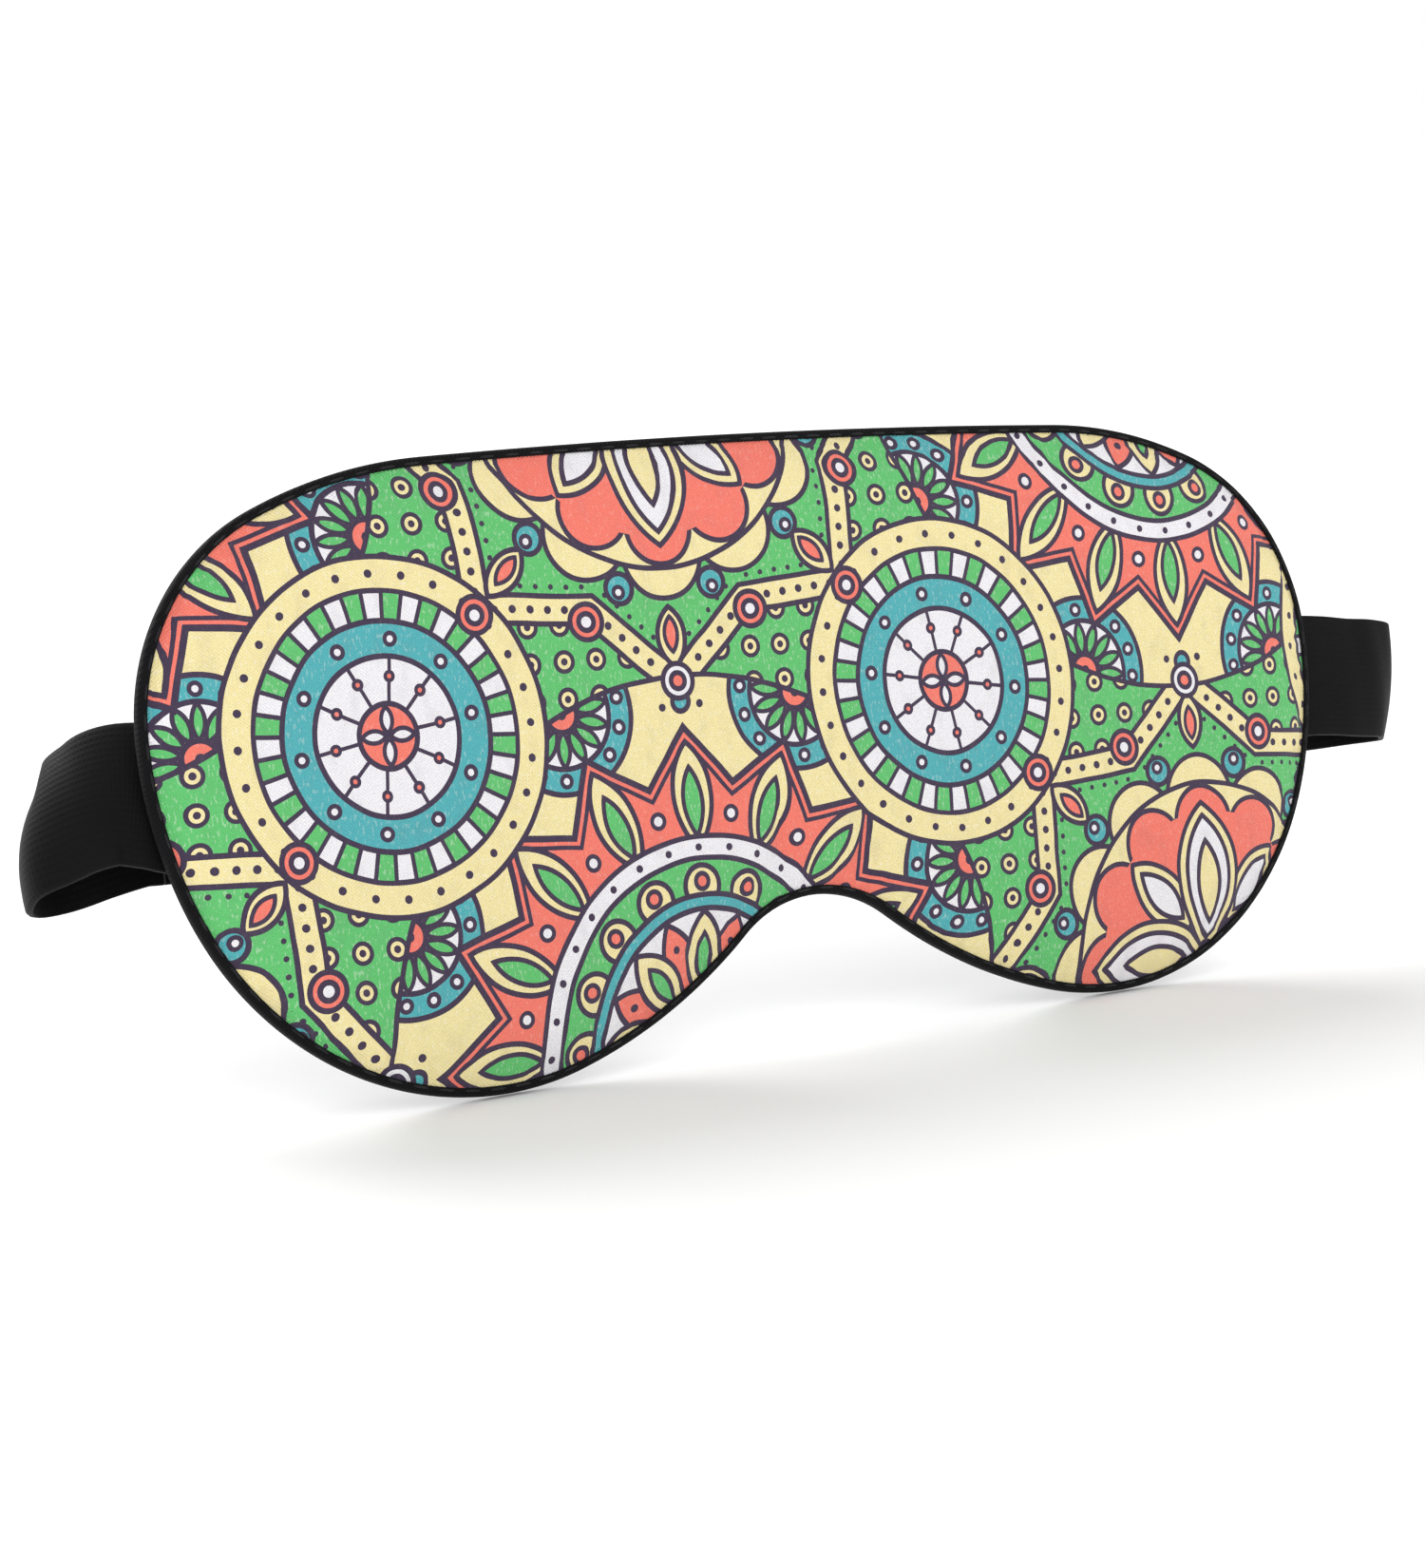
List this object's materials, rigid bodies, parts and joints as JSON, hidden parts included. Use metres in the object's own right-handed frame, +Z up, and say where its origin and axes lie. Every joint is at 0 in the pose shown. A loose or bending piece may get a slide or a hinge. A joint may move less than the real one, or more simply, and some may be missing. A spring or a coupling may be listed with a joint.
{
  "type": "sleep mask",
  "caption": "Padded sleep mask with a patterned front, bound edge, nose notch and an elastic strap that stretches and is set by a slider.",
  "frame": {"origin": "centre of the flat face side of the back lining, midway between the strap's two seams", "axes": "+X across the mask to the right as seen from the front, +Z up, the printed front faces -Y and leans back 13.4 degrees from upright"},
  "size_m": [0.2474, 0.0343, 0.0886],
  "materials": {
    "printed_fabric": "printed woven polyester, coral, cream, green and teal",
    "wadding": "soft polyester wadding",
    "liner": "opaque blackout cloth",
    "lining": "black brushed lining",
    "binding": "black woven binding tape",
    "webbing": "black knitted elastic",
    "thread": "black polyester thread",
    "hardware": "moulded black acetal"
  },
  "bodies": {
    "mask": {"front_panel": "printed_fabric", "padding": "wadding", "blackout_liner": "liner", "back_panel": "lining", "edge_binding": "binding", "binding_stitches": "thread", "left_bar_tack": "thread", "right_bar_tack": "thread", "strap_left_loop": "webbing", "tab_right_loop": "webbing"},
    "rear_strap": {"strap_rear_run": "webbing", "strap_return": "webbing", "tab_end": "webbing", "adjuster_ring": "hardware", "tab_tack": "thread"},
    "slider": {"adjuster_slider": "hardware", "strap_end": "webbing", "slider_tack": "thread"}
  },
  "joints": [
    {"name": "strap_stretch", "type": "slide", "parent": "mask", "child": "rear_strap", "axis": [0, 0.9728, -0.2317], "range_m": [0, 0.08], "stiffness_N_per_m": 60, "springref_m": -0.005, "deforming": ["strap_left_loop", "tab_right_loop"]},
    {"name": "slider_slide", "type": "slide", "parent": "rear_strap", "child": "slider", "axis": [1, 0, 0], "range_m": [-0.085, 0.026], "deforming": ["strap_return"]}
  ]
}
